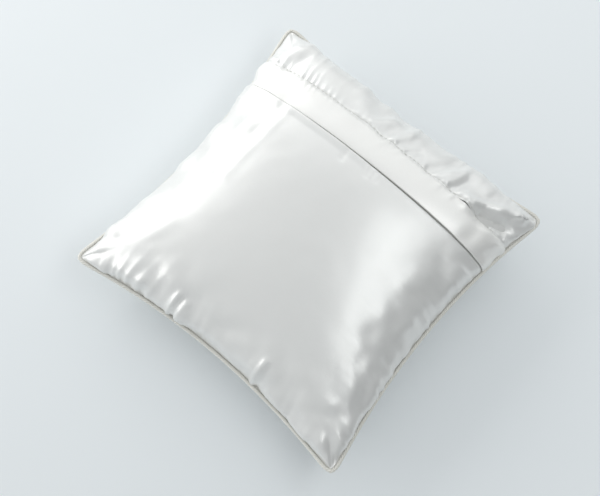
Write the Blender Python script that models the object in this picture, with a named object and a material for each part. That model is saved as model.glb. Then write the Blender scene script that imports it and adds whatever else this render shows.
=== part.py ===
"""Ring bearer pillow: satin cover with a lapped zip closure, corded edge, insert and ring ties.

The pillow lies on its front with the closure on top.  Z is up, the table is z = 0, X runs
along the closure and +Y points to the flap edge.  All sizes are in metres.
"""
import math

import bmesh
import bpy
from mathutils import Matrix, Vector

MM = 0.001

# Overall sizes of the stuffed cover
SEAM_WIDTH = 0.192          # seam corner to seam corner, along X and along Y
SIDE_DRAW = 10.6 * MM       # how far the stuffing draws in the middle of three sides
FLAP_SIDE_DRAW = 6.6 * MM   # the same for the flap's side, which its gathers hold fuller
CROWN_BACK = 0.037          # height of the back above the side seam
CROWN_FRONT = 0.038         # depth of the front below the side seam before it settles
SETTLE = 10.6 * MM          # how much of that depth the weight flattens on the table
SHOULDER = 4.0 * MM         # rounding between the flattened patch and the sides
REST_CORNER = 41.7 * MM     # the four corners that carry the weight, along X and along Y
REST_LIFT = 0.1 * MM        # the cloth outside those corners clears the table by this

# Cloth and gaps
PANEL_THICK = 1.0 * MM
INSERT_CLOTH_THICK = 0.6 * MM
GAP = 0.35 * MM
CLOSURE_GAP = 0.6 * MM
SEAM_SPLIT = 0.55 * MM      # each panel edge stands this far from the seam plane
INSERT_SIDE_EASE = 3.0 * MM

# Lapped closure
FLAP_DEPTH = 27.8 * MM      # from the side seam to the topstitch line
LAP_DEPTH = 19.2 * MM
LAP_FREE_LENGTH = 0.116     # middle length that is not sewn down
LAP_BELOW = 0.6 * MM
LAP_ABOVE = 0.5 * MM
LAP_OVERLAP = 4.8 * MM      # the lower panel runs this far under the lap
LAP_END_GAP = 0.75 * MM
THREAD_SETBACK = 1.6 * MM   # topstitch beyond the lap's root
THREAD_END = 16.0 * MM      # topstitch stops this far from each side seam
THREAD_RADIUS = 0.25 * MM

# Zip
ZIP_SETBACK = 10.2 * MM     # from the topstitch line to the middle of the zip
ZIP_LENGTH = 0.120
CHAIN_DEPTH = 4.8 * MM
COIL_WIDTH = 1.6 * MM
COIL_THICK = 1.4 * MM
COIL_SPLIT = 1.0 * MM
TAPE_THICK = 0.5 * MM
TAPE_END = 3.0 * MM         # tape beyond each end of the zip
TAPE_SEWN = 6.4 * MM        # strip of the upper tape under the topstitch
TAPE_TUCK = 5.0 * MM        # strip of the lower tape under the panel
SLIDER_LENGTH = 9.0 * MM
SLIDER_WIDTH = 7.0 * MM
SLIDER_THICK = 3.6 * MM
SLIDER_PLATE = 0.8 * MM
SLIDER_PARK = 0.050         # middle of the closed slider, from the middle of the zip
POCKET_EASE = 1.25 * MM     # room left round the slider in the insert
PULL_LENGTH = 16.0 * MM
PULL_WIDTH = 3.2 * MM
PULL_THICK = 0.5 * MM

# Corded edge
CORD_RADIUS = 1.25 * MM
CORD_OFFSET = 1.95 * MM
LIP_INSIDE = 2.6 * MM
LIP_OUTSIDE = 0.4 * MM
LIP_THICK = 0.5 * MM

# Ring ties on the front
HOLLOW_DEPTH = 4.2 * MM
HOLLOW_INNER = 0.032
HOLLOW_OUTER = 0.042
RIBBON_WIDTH = 6.0 * MM
RIBBON_THICK = 0.5 * MM
BOW_REACH = 0.026

HALF = SEAM_WIDTH / 2
SIDE_BOW = SIDE_DRAW / HALF
FLAP_BOW = FLAP_SIDE_DRAW / HALF
SEAM_HEIGHT = CROWN_FRONT - SETTLE
STITCH_Y = HALF - FLAP_DEPTH
FOLD_Y = STITCH_Y - LAP_DEPTH
ZIP_Y = STITCH_Y - ZIP_SETBACK
LAP_HALF = LAP_FREE_LENGTH / 2

MATERIALS = {
    "satin": ((0.80, 0.80, 0.775), 0.34, 0.0),
    "lap_satin": ((0.80, 0.79, 0.75), 0.36, 0.0),
    "cord": ((0.78, 0.77, 0.72), 0.45, 0.0),
    "thread": ((0.82, 0.82, 0.79), 0.5, 0.0),
    "tape": ((0.74, 0.73, 0.69), 0.75, 0.0),
    "nylon": ((0.80, 0.79, 0.75), 0.4, 0.0),
    "zip_metal": ((0.70, 0.70, 0.71), 0.28, 1.0),
    "cotton": ((0.78, 0.78, 0.76), 0.85, 0.0),
    "fibre": ((0.82, 0.82, 0.81), 0.95, 0.0),
    "ribbon": ((0.84, 0.83, 0.79), 0.3, 0.0),
}


def clear_scene():
    for item in list(bpy.data.objects):
        bpy.data.objects.remove(item, do_unlink=True)


def make_material(name):
    colour, roughness, metallic = MATERIALS[name]
    material = bpy.data.materials.get(name)
    if material is None:
        material = bpy.data.materials.new(name)
        material.use_nodes = True
        shader = material.node_tree.nodes["Principled BSDF"]
        shader.inputs["Base Color"].default_value = (*colour, 1.0)
        shader.inputs["Roughness"].default_value = roughness
        shader.inputs["Metallic"].default_value = metallic
        material.diffuse_color = (*colour, 1.0)
    return material


def add_body(name, mesh_data, material, origin=None):
    """Turn a bmesh, held in table coordinates, into a named object with its own origin."""
    origin = Vector(origin) if origin else Vector((0.0, 0.0, 0.0))
    bmesh.ops.remove_doubles(mesh_data, verts=mesh_data.verts, dist=0.00001)
    bmesh.ops.recalc_face_normals(mesh_data, faces=mesh_data.faces)
    if mesh_data.calc_volume(signed=True) < 0:
        bmesh.ops.reverse_faces(mesh_data, faces=mesh_data.faces)
    for face in mesh_data.faces:
        face.smooth = True
    for edge in mesh_data.edges:
        if edge.is_manifold and edge.calc_face_angle() > math.radians(38):
            edge.smooth = False
    bmesh.ops.translate(mesh_data, verts=mesh_data.verts, vec=-origin)
    mesh = bpy.data.meshes.new(name)
    mesh_data.to_mesh(mesh)
    mesh_data.free()
    mesh.materials.append(make_material(material))
    body = bpy.data.objects.new(name, mesh)
    body.location = origin
    bpy.context.scene.collection.objects.link(body)
    return body


def bridge_loops(mesh_data, first, second, closed=True):
    count = len(first) if closed else len(first) - 1
    for i in range(count):
        k = (i + 1) % len(first)
        mesh_data.faces.new((first[i], first[k], second[k], second[i]))


def loft(rings, closed_path=False):
    """Skin a list of point rings into one closed tube, capped unless it returns to its start."""
    mesh_data = bmesh.new()
    loops = [[mesh_data.verts.new(point) for point in ring] for ring in rings]
    for first, second in zip(loops, loops[1:]):
        bridge_loops(mesh_data, first, second)
    if closed_path:
        bridge_loops(mesh_data, loops[-1], loops[0])
    else:
        mesh_data.faces.new(loops[0])
        mesh_data.faces.new(loops[-1])
    return mesh_data


def slab(outer, inner):
    """One closed sheet between two point grids of the same size."""
    mesh_data = bmesh.new()
    top = [[mesh_data.verts.new(point) for point in row] for row in outer]
    bottom = [[mesh_data.verts.new(point) for point in row] for row in inner]
    for grid in (top, bottom):
        for first, second in zip(grid, grid[1:]):
            bridge_loops(mesh_data, first, second, closed=False)
    bridge_loops(mesh_data, top[0], bottom[0], closed=False)
    bridge_loops(mesh_data, top[-1], bottom[-1], closed=False)
    for column in (0, -1):
        edge_top = [row[column] for row in top]
        edge_bottom = [row[column] for row in bottom]
        bridge_loops(mesh_data, edge_top, edge_bottom, closed=False)
    return mesh_data


def ease(value, low, high):
    share = min(1.0, max(0.0, (value - low) / (high - low)))
    return share * share * (3 - 2 * share)


# --- Shape of the stuffed cover -------------------------------------------------------

def plan_point(s, t, half):
    bow = FLAP_BOW if t > 0 else SIDE_BOW
    x = half * s * (1 - SIDE_BOW * (1 - t * t))
    y = half * t * (1 - bow * (1 - s * s))
    return x, y


def crown_share(s, t):
    return math.sqrt(max(0.0, 1 - s * s) * max(0.0, 1 - t * t))


def across(s, y, half):
    """Cross parameter t of the point at plan position y on the line s."""
    bow = FLAP_BOW if y > 0 else SIDE_BOW
    return y / (half * (1 - bow * (1 - s * s)))


def back_at(s, t, inset, side_ease=0.0, split=SEAM_SPLIT):
    x, y = plan_point(s, t, HALF - inset - side_ease)
    z = SEAM_HEIGHT + split + (CROWN_BACK - split - inset) * crown_share(s, t)
    return Vector((x, y, z))


def row_across(s, row, half):
    """Cross parameter of a row between one seam and the plan line y.  Share 1 is the line."""
    seam_side, share, y = row
    start = seam_side * math.pi / 2
    line = math.asin(across(s, y, half))
    return math.sin(start + share * (line - start))


def back_row(s, row, inset, side_ease=0.0, split=SEAM_SPLIT):
    return back_at(s, row_across(s, row, HALF - inset - side_ease), inset, side_ease, split)


def corner_share(reach, half):
    """Share of the cover's plan at which a corner stands this far out along X and Y."""
    share = reach / half
    for _ in range(20):
        share = reach / (half * (1 - SIDE_BOW * (1 - share * share)))
    return share


REST_SHARE = corner_share(REST_CORNER, HALF)


def front_at(s, t, inset, side_ease=0.0, split=SEAM_SPLIT, hollow=HOLLOW_DEPTH, flat=0.0):
    """Front of the pillow: crowned at the sides, level on the table, hollow for the ties."""
    x, y = plan_point(s, t, HALF - inset - side_ease)
    depth = (CROWN_FRONT - split - inset) * crown_share(s, t)
    limit = SEAM_HEIGHT - split - inset - flat
    if depth > limit - SHOULDER:
        over = min(depth, limit + SHOULDER) - limit + SHOULDER
        depth = limit - SHOULDER + over - over * over / (4 * SHOULDER)
    if max(abs(s), abs(t)) < REST_SHARE + 1e-6:
        depth = limit
    else:
        depth = min(depth, limit - REST_LIFT)
    depth -= hollow * (1 - ease(math.hypot(x, y), HOLLOW_INNER, HOLLOW_OUTER))
    return Vector((x, y, SEAM_HEIGHT - split - depth))


def sine_steps(angles):
    half = [math.sin(math.radians(angle)) for angle in angles]
    return [-value for value in reversed(half[1:])] + half


SKIN_STEPS = sine_steps((0, 9, 18, 27, 36, 45, 54, 63, 72, 80, 90))
POCKET_END = (ZIP_LENGTH / 2 + TAPE_END + POCKET_EASE) / (HALF - SIDE_DRAW / 2)
INSERT_STEPS = sine_steps((0, 9, 18, 27, 36, math.degrees(math.asin(POCKET_END)), 50.5, 57.1, 65,
                           73, 81, 90))
REST_STEP = math.degrees(math.asin(REST_SHARE))
FRONT_STEPS = sine_steps((0, 4.8, 9.6, 14.5, 19.5, 24, REST_STEP, 36, 43.5, 51.5, 60, 69, 78, 90))


def seam_rows(side, y, count):
    return [(side, i / count, y) for i in range(count)]


def line_rows(*ys):
    return [(0, 1.0, y) for y in ys]


# --- Cover ----------------------------------------------------------------------------

def build_front_panel():
    outer = [[front_at(s, t, 0.0) for s in FRONT_STEPS] for t in FRONT_STEPS]
    inner = [[front_at(s, t, PANEL_THICK) for s in FRONT_STEPS] for t in FRONT_STEPS]
    add_body("front_panel", slab(outer, inner), "satin")


def build_back_panel():
    tuck = LAP_BELOW + CLOSURE_GAP
    start = FOLD_Y - 5 * MM
    rows = seam_rows(-1, start, 14)
    insets = [0.0] * 14
    for y, inset in ((start, 0.0), (FOLD_Y - 2.6 * MM, 0.5 * tuck), (FOLD_Y - 0.6 * MM, tuck),
                     (FOLD_Y + LAP_OVERLAP, tuck)):
        rows += line_rows(y)
        insets.append(inset)
    outer = [[back_row(s, row, d) for s in SKIN_STEPS] for row, d in zip(rows, insets)]
    inner = [[back_row(s, row, d + PANEL_THICK) for s in SKIN_STEPS]
             for row, d in zip(rows, insets)]
    add_body("back_panel", slab(outer, inner), "satin")


def build_back_flap():
    rows = line_rows(STITCH_Y + 0.2 * MM) + seam_rows(1, STITCH_Y + 0.2 * MM, 5)[::-1]
    outer = [[back_row(s, row, 0.0) for s in SKIN_STEPS] for row in rows]
    inner = [[back_row(s, row, PANEL_THICK) for s in SKIN_STEPS] for row in rows]
    add_body("back_flap", slab(outer, inner), "satin")


def along(x, y, inset=0.0):
    """Line parameter s of the skin point above plan position x, y."""
    s = x / HALF
    for _ in range(12):
        t = across(s, y, HALF - inset)
        s = x / ((HALF - inset) * (1 - SIDE_BOW * (1 - t * t)))
        s = max(-1.0, min(1.0, s))
    return s


def skin_point(x, y, inset):
    """Point of the back skin at plan position x, y, sunk by inset."""
    s = along(x, y, inset)
    return back_at(s, across(s, y, HALF - inset), inset)


LAP_ROWS = ((0.0, 0.35), (0.5, 0.9), (1.4, 1.0), (7.0, 1.0), (13.0, 1.0), (19.0, 1.0))


def lap_grids(side, start, end, cells):
    """Outer and inner grids of a stretch of the folded lap, from the fold to the stitches."""
    middle = (LAP_BELOW - LAP_ABOVE) / 2
    reach = (LAP_BELOW + LAP_ABOVE) / 2
    outer, inner = [], []
    for offset, fullness in LAP_ROWS:
        y = FOLD_Y + offset / 19.0 * (LAP_DEPTH - 0.2 * MM)
        upper, lower = [], []
        for i in range(cells + 1):
            share = i / cells
            if end is None:
                s_start = along(start, y)
                s = math.sin(math.asin(s_start) + (math.pi / 2 - math.asin(s_start)) * share)
                upper.append(back_row(side * s, (0, 1.0, y), middle - reach * fullness))
                lower.append(back_row(side * s, (0, 1.0, y), middle + reach * fullness))
            else:
                x = start + (end - start) * share
                upper.append(skin_point(x, y, middle - reach * fullness))
                lower.append(skin_point(x, y, middle + reach * fullness))
        outer.append(upper)
        inner.append(lower)
    return outer, inner


def lap_hinge():
    crest = skin_point(0.0, STITCH_Y, 0.0)
    return Vector((0.0, STITCH_Y, crest.z + LAP_ABOVE + 0.1 * MM))


def build_lap():
    outer, inner = lap_grids(1, -LAP_HALF, LAP_HALF, 14)
    add_body("lap", slab(outer, inner), "lap_satin", lap_hinge())
    for name, side in (("lap_end_left", -1), ("lap_end_right", 1)):
        outer, inner = lap_grids(side, LAP_HALF + LAP_END_GAP, None, 5)
        add_body(name, slab(outer, inner), "lap_satin")


def tube_along(points, radius, sides, closed=False, flat_normal=None):
    """Round tube around a path of points."""
    rings = []
    count = len(points)
    for i, point in enumerate(points):
        if closed:
            ahead, behind = points[(i + 1) % count], points[i - 1]
        else:
            ahead, behind = points[min(i + 1, count - 1)], points[max(i - 1, 0)]
        forward = (ahead - behind).normalized()
        side = forward.cross(flat_normal or Vector((0, 1, 0))).normalized()
        up = side.cross(forward).normalized()
        ring = []
        for k in range(sides):
            angle = 2 * math.pi * k / sides
            ring.append(point + radius * (math.cos(angle) * side + math.sin(angle) * up))
        rings.append(ring)
    return loft(rings, closed_path=closed)


def build_topstitch():
    y = STITCH_Y + THREAD_SETBACK
    reach = HALF - THREAD_END
    points = []
    for i in range(25):
        x = -reach + i / 24 * 2 * reach
        base = skin_point(x, y, 0.0)
        points.append(base + Vector((0, 0.3, 1)).normalized() * (THREAD_RADIUS + GAP))
    add_body("lap_topstitch", tube_along(points, THREAD_RADIUS, 5), "thread")


# --- Zip ------------------------------------------------------------------------------

def zip_tilt():
    """Lean of the zip, which lies along the slope of the cloth over its middle."""
    step = 0.5 * MM
    low = skin_point(0.0, ZIP_Y + step, 0.0)
    high = skin_point(0.0, ZIP_Y - step, 0.0)
    return math.atan2(high.z - low.z, low.y - high.y)


def zip_arc():
    """Radius and centre height of the round path that the zip follows over the crown."""
    crest = skin_point(0.0, ZIP_Y, 0.0).z
    reach = SLIDER_PARK
    drop = crest - skin_point(reach, ZIP_Y, 0.0).z
    radius = (reach * reach + drop * drop) / (2 * drop)
    return radius, crest - radius


ZIP_TILT = zip_tilt()
ARC_RADIUS, ARC_HEIGHT = zip_arc()


def zip_point(along_arc, p, q):
    """Point in the zip's frame: along the arc, p across towards the flap, q outwards."""
    angle = along_arc / ARC_RADIUS
    rho = ARC_RADIUS - math.sin(ZIP_TILT) * p + math.cos(ZIP_TILT) * q
    y = ZIP_Y + math.cos(ZIP_TILT) * p + math.sin(ZIP_TILT) * q
    return Vector((rho * math.sin(angle), y, ARC_HEIGHT + rho * math.cos(angle)))


def zip_bar(name, start, end, p_range, q_range, cells, material):
    rings = []
    for i in range(cells + 1):
        at = start + (end - start) * i / cells
        rings.append([zip_point(at, p_range[a], q_range[b]) for a, b in
                      ((0, 0), (1, 0), (1, 1), (0, 1))])
    return add_body(name, loft(rings), material)


def build_coils():
    half = ZIP_LENGTH / 2 - 3.4 * MM
    inner = COIL_SPLIT / 2
    q_range = (-CHAIN_DEPTH - COIL_THICK / 2, -CHAIN_DEPTH + COIL_THICK / 2)
    zip_bar("zip_coil_upper", -half, half, (inner, inner + COIL_WIDTH), q_range, 22, "nylon")
    zip_bar("zip_coil_lower", -half, half, (-inner - COIL_WIDTH, -inner), q_range, 22, "nylon")


def build_stops():
    half = ZIP_LENGTH / 2
    q_range = (-CHAIN_DEPTH - 0.8 * MM, -CHAIN_DEPTH + 0.8 * MM)
    reach = COIL_SPLIT / 2 + COIL_WIDTH
    zip_bar("zip_bottom_stop", -half, 3.0 * MM - half, (-reach, reach), q_range, 1, "zip_metal")
    start = half - 3.0 * MM
    zip_bar("zip_top_stop_upper", start, start + 2.4 * MM, (0.3 * MM, reach), q_range, 1, "zip_metal")
    zip_bar("zip_top_stop_lower", start, start + 2.4 * MM, (-reach, -0.3 * MM), q_range, 1,
            "zip_metal")


def tape_grids(side):
    """Woven tape from beside the coil to the strip that is sewn under the cloth."""
    start = COIL_SPLIT / 2 + COIL_WIDTH + 0.3 * MM
    arc_ps = (start, start + 0.9 * MM, start + 1.9 * MM)
    if side > 0:
        sunk = PANEL_THICK + CLOSURE_GAP
        start_y = STITCH_Y - 0.6 * TAPE_SEWN
        sewn = ((start_y, sunk), (start_y + TAPE_SEWN, sunk))
    else:
        sunk = LAP_BELOW + PANEL_THICK + 2 * CLOSURE_GAP
        start_y = FOLD_Y + 0.4 * TAPE_TUCK
        sewn = ((start_y, sunk), (start_y - TAPE_TUCK / 2, sunk), (start_y - TAPE_TUCK, sunk))
    cells = 20
    half = ZIP_LENGTH / 2 + TAPE_END
    grids = []
    for level in (0, 1):
        rows = []
        for p in arc_ps:
            q = -CHAIN_DEPTH + (0.5 - level) * TAPE_THICK
            rows.append([zip_point(-half + 2 * half * i / cells, side * p, q)
                         for i in range(cells + 1)])
        for y, inset in sewn:
            rows.append([skin_point(-half + 2 * half * i / cells, y, inset + level * TAPE_THICK)
                         for i in range(cells + 1)])
        grids.append(rows)
    return grids


def build_tapes():
    for name, side in (("zip_tape_upper", 1), ("zip_tape_lower", -1)):
        outer, inner = tape_grids(side)
        add_body(name, slab(outer, inner), "tape")


def slider_section():
    """Cross-section of the slider: two plates, a middle divider and four short rails."""
    wide = SLIDER_WIDTH / 2
    top = SLIDER_THICK / 2
    plate = top - SLIDER_PLATE
    rail = 0.6 * MM
    web = 0.2 * MM
    quarter = [(wide, top), (wide, rail), (wide - 0.4 * MM, rail), (wide - 0.4 * MM, plate),
               (web, plate)]
    outline = quarter + [(p, -q) for p, q in reversed(quarter)]
    outline += [(-p, q) for p, q in reversed(outline)]
    return [(p, q - CHAIN_DEPTH) for p, q in outline]


def pull_hinge():
    return zip_point(SLIDER_PARK_ARC - 0.75 * MM, 0.0, PULL_Q)


SLIDER_PARK_ARC = ARC_RADIUS * math.asin(SLIDER_PARK / ARC_RADIUS)
SLIDER_TOP = SLIDER_THICK / 2 - CHAIN_DEPTH
PULL_Q = SLIDER_TOP + GAP + PULL_THICK / 2


def join_solids(target, tool):
    """Exact union of two closed bodies, written back to the first one."""
    union = target.modifiers.new("union", "BOOLEAN")
    union.operation = "UNION"
    union.solver = "EXACT"
    union.object = tool
    graph = bpy.context.evaluated_depsgraph_get()
    mesh = bpy.data.meshes.new_from_object(target.evaluated_get(graph))
    target.modifiers.clear()
    target.data = mesh
    bpy.data.objects.remove(tool, do_unlink=True)


def staple_outline():
    """Side view of the slider's staple: two legs sunk into the top plate and a bridge."""
    top = PULL_Q + PULL_THICK / 2 + GAP
    crest = top + 0.45 * MM
    sunk = SLIDER_TOP - 0.3 * MM
    return [(-3.0 * MM, sunk), (-3.0 * MM, crest), (1.5 * MM, crest), (1.5 * MM, sunk),
            (0.8 * MM, sunk), (0.8 * MM, top), (-2.3 * MM, top), (-2.3 * MM, sunk)]


def build_slider():
    at = SLIDER_PARK_ARC
    reach = SLIDER_LENGTH / 2
    rings = [[zip_point(at + u, p, q) for p, q in slider_section()] for u in (-reach, reach)]
    centre = (0.0, ZIP_Y, ARC_HEIGHT)
    slider = add_body("zip_slider", loft(rings), "zip_metal", centre)
    rings = [[zip_point(at + u, p, q) for u, q in staple_outline()]
             for p in (-0.6 * MM, 0.6 * MM)]
    join_solids(slider, add_body("staple", loft(rings), "zip_metal", centre))


def build_pull_tab():
    """Pull tab with a window, hung on the slider's staple and lying along the closed chain."""
    at = SLIDER_PARK_ARC
    half = PULL_WIDTH / 2
    window = 0.95 * MM
    stations = ((-0.5, half, window), (-1.0, half, window), (-3.4, half, window),
                (-4.6, half, window), (-9.0, half * 0.8, window * 0.8),
                (-12.5, half * 1.0, window), (-0.5 - PULL_LENGTH / MM, half * 1.2, window))
    levels = (PULL_Q + PULL_THICK / 2, PULL_Q - PULL_THICK / 2)
    mesh_data = bmesh.new()
    grid = []
    for u, wide, inner in stations:
        ps = (-wide, -inner, inner, wide)
        grid.append([[mesh_data.verts.new(zip_point(at + u * MM, p, q)) for p in ps]
                     for q in levels])
    for i, (first, second) in enumerate(zip(grid, grid[1:])):
        for level in (0, 1):
            for k in range(3):
                if i == 1 and k == 1:
                    continue
                mesh_data.faces.new((first[level][k], first[level][k + 1],
                                     second[level][k + 1], second[level][k]))
        for k in (0, 3):
            mesh_data.faces.new((first[0][k], second[0][k], second[1][k], first[1][k]))
    for row in (grid[0], grid[-1]):
        for k in range(3):
            mesh_data.faces.new((row[0][k], row[0][k + 1], row[1][k + 1], row[1][k]))
    for row in (grid[1], grid[2]):
        mesh_data.faces.new((row[0][1], row[0][2], row[1][2], row[1][1]))
    for k in (1, 2):
        mesh_data.faces.new((grid[1][0][k], grid[2][0][k], grid[2][1][k], grid[1][1][k]))
    add_body("zip_pull_tab", mesh_data, "zip_metal", pull_hinge())


# --- Corded edge ----------------------------------------------------------------------

SEAM_BOWS = (SIDE_BOW, FLAP_BOW, SIDE_BOW, SIDE_BOW)   # +X, +Y, -X and -Y sides


def seam_outline(half, steps, corner_cut):
    """Plan outline of the seam, one side after another, with each corner cut back."""
    points = []
    for side, bow in enumerate(SEAM_BOWS):
        turn = Matrix.Rotation(side * math.pi / 2, 3, "Z")
        for i in range(steps + 1):
            t = -corner_cut + 2 * corner_cut * i / steps
            points.append(turn @ Vector((half * (1 - bow * (1 - t * t)), half * t, 0.0)))
    return points


def build_cord():
    """Cord round the whole seam at a constant distance, rounded at the corners."""
    points = []
    for side, bow in enumerate(SEAM_BOWS):
        turn = Matrix.Rotation(side * math.pi / 2, 3, "Z")
        for i in range(13):
            t = math.sin(math.radians(-90 + 15 * i))
            x, y = HALF * (1 - bow * (1 - t * t)), HALF * t
            normal = Vector((1.0, -2 * bow * t, 0.0)).normalized()
            points.append(turn @ (Vector((x, y, 0.0)) + CORD_OFFSET * normal))
        corner = turn @ Vector((HALF, HALF, 0.0))
        start = -math.atan(2 * bow)
        end = math.pi / 2 + math.atan(2 * SEAM_BOWS[(side + 1) % 4])
        for k in (1, 2, 3):
            angle = start + (end - start) * k / 4
            out = Vector((math.cos(angle), math.sin(angle), 0.0))
            points.append(corner + turn @ out * CORD_OFFSET)
    lifted = [point + Vector((0, 0, SEAM_HEIGHT)) for point in points]
    cord = tube_along(lifted, CORD_RADIUS, 8, closed=True, flat_normal=Vector((0, 0, 1)))
    add_body("edge_cord", cord, "cord")


def build_lip():
    outer = seam_outline(HALF + LIP_OUTSIDE, 14, 0.98)
    inner = seam_outline(HALF - LIP_INSIDE, 14, 0.98)
    rings = []
    for far, near in zip(outer, inner):
        low = Vector((0, 0, SEAM_HEIGHT - LIP_THICK / 2))
        high = Vector((0, 0, SEAM_HEIGHT + LIP_THICK / 2))
        rings.append([near + low, far + low, far + high, near + high])
    add_body("cord_lip", loft(rings, closed_path=True), "tape")


# --- Insert ---------------------------------------------------------------------------

INSERT_INSET = PANEL_THICK + GAP


def trough_profile():
    """Depth of the hollow in the insert across the closure: tape, slider pocket, tape."""
    slider_low = CHAIN_DEPTH + SLIDER_THICK / 2
    middle = ZIP_Y - math.sin(ZIP_TILT) * slider_low
    reach = math.cos(ZIP_TILT) * SLIDER_WIDTH / 2
    pocket = slider_low + POCKET_EASE - INSERT_INSET
    lower_tape = LAP_BELOW + PANEL_THICK + 2 * CLOSURE_GAP + TAPE_THICK - INSERT_INSET
    upper_tape = PANEL_THICK + CLOSURE_GAP + TAPE_THICK - INSERT_INSET
    tape_edge = FOLD_Y - 0.6 * TAPE_TUCK
    far_edge = STITCH_Y + 0.4 * TAPE_SEWN
    return ((tape_edge - 16.3 * MM, 0.0), (tape_edge - 4.8 * MM, 0.0),
            (tape_edge - 0.6 * MM, lower_tape), (tape_edge + 2.4 * MM, lower_tape + 0.1 * MM),
            (middle - reach - 1.3 * MM, pocket), (middle + reach + 1.9 * MM, pocket),
            (far_edge - 5.6 * MM, upper_tape + 0.25 * MM), (far_edge + 1.0 * MM, upper_tape),
            (far_edge + 5.4 * MM, 0.0))


def insert_rows():
    """Rows of the insert from one seam to the other, each with its depth under the closure."""
    profile = trough_profile()
    rows = [(row, 0.0) for row in seam_rows(-1, profile[0][0], 8)]
    rows += [((0, 1.0, y), depth) for y, depth in profile]
    rows += [(row, 0.0) for row in seam_rows(1, profile[-1][0], 4)[::-1]]
    return rows


def insert_back_grid(extra):
    grid = []
    for row, depth in insert_rows():
        line = []
        for s in INSERT_STEPS:
            fade = 1 - ease(abs(s), POCKET_END, 1.2 * POCKET_END)
            inset = INSERT_INSET + extra + depth * fade
            line.append(back_row(s, row, inset, INSERT_SIDE_EASE, 0.2 * MM))
        grid.append(line)
    return grid


def insert_front_grid(extra):
    """Front of the insert: level above the hollow for the ring ties."""
    inset = INSERT_INSET + extra
    half = HALF - inset - INSERT_SIDE_EASE
    return [[front_at(s, row_across(s, row, half), inset, INSERT_SIDE_EASE, 0.2 * MM, 0.0,
                      HOLLOW_DEPTH) for s in INSERT_STEPS] for row, _ in insert_rows()]


def build_insert():
    thick = INSERT_CLOTH_THICK
    add_body("insert_cover_back", slab(insert_back_grid(0.0), insert_back_grid(thick)), "cotton")
    add_body("insert_cover_front", slab(insert_front_grid(0.0), insert_front_grid(thick)), "cotton")


def build_fill():
    """Fibre filling as one closed body inside the insert's two cloths."""
    sunk = INSERT_CLOTH_THICK + GAP
    add_body("insert_fill", slab(insert_back_grid(sunk), insert_front_grid(sunk)), "fibre")


# --- Ring ties ------------------------------------------------------------------------

def ribbon_strip(name, path, turn_deg, origin_xy, closed):
    """Flat ribbon bent along a path in its own length and height."""
    turn = Matrix.Rotation(math.radians(turn_deg), 3, "Z")
    count = len(path)
    rings = []
    for i, (length, height) in enumerate(path):
        if closed:
            ahead, behind = path[(i + 1) % count], path[i - 1]
        else:
            ahead, behind = path[min(i + 1, count - 1)], path[max(i - 1, 0)]
        run = Vector((ahead[0] - behind[0], 0, ahead[1] - behind[1])).normalized()
        normal = Vector((-run.z, 0, run.x))
        centre = Vector((length, 0, height))
        ring = []
        for side, up in ((-1, -1), (1, -1), (1, 1), (-1, 1)):
            offset = Vector((0, side * RIBBON_WIDTH / 2, 0)) + normal * up * RIBBON_THICK / 2
            ring.append(turn @ (centre + offset) + Vector((*origin_xy, 0)))
        rings.append(ring)
    add_body(name, loft(rings, closed_path=closed), "ribbon")


def build_ties():
    """Ribbon bow in the hollow of the front, flat against the cloth."""
    ceiling = HOLLOW_DEPTH - 0.35 * MM
    top = ceiling - RIBBON_THICK / 2
    bottom = top - 1.7 * MM
    loop = [(4.6 * MM, top - 0.55 * MM), (6.5 * MM, top - 0.1 * MM), (10 * MM, top),
            (20 * MM, top), (24.6 * MM, top - 0.15 * MM), (BOW_REACH, top - 0.85 * MM),
            (24.6 * MM, bottom + 0.15 * MM), (20 * MM, bottom), (10 * MM, bottom),
            (6.5 * MM, bottom + 0.1 * MM), (4.6 * MM, bottom + 0.55 * MM)]
    ribbon_strip("ring_tie_loop_left", loop, 180, (0, 0), True)
    ribbon_strip("ring_tie_loop_right", loop, 0, (0, 0), True)
    tail = [(0.0, top), (6.5 * MM, top), (13 * MM, top), (19.5 * MM, top)]
    ribbon_strip("ring_tie_tail_left", tail, -117, (-3.1 * MM, -4.9 * MM), False)
    ribbon_strip("ring_tie_tail_right", tail, -63, (3.1 * MM, -4.9 * MM), False)
    knot = bmesh.new()
    bmesh.ops.create_cube(knot, size=1.0)
    bmesh.ops.scale(knot, verts=knot.verts, vec=(7.4 * MM, 6.6 * MM, 3.0 * MM))
    bmesh.ops.bevel(knot, geom=list(knot.edges), offset=1.1 * MM, segments=2, affect="EDGES",
                    profile=0.5)
    bmesh.ops.translate(knot, verts=knot.verts, vec=(0, 0, ceiling - 1.5 * MM))
    add_body("ring_tie_knot", knot, "ribbon")


def build_all():
    clear_scene()
    build_front_panel()
    build_back_panel()
    build_back_flap()
    build_lap()
    build_topstitch()
    build_tapes()
    build_coils()
    build_stops()
    build_slider()
    build_pull_tab()
    build_cord()
    build_lip()
    build_insert()
    build_fill()
    build_ties()


build_all()
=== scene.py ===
"""Looks of a ring bearer pillow.

A square satin cover, stuffed by an insert, lies on its front.  Its back is closed by a lap: a
narrow flap, a row of topstitching, and a folded band that hides a zip.  A twisted cord runs
round the seam, and a ribbon bow for the rings is tied on the front.
"""

import math

import bmesh
import bpy
import numpy as np
from mathutils import Matrix, Vector


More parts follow.
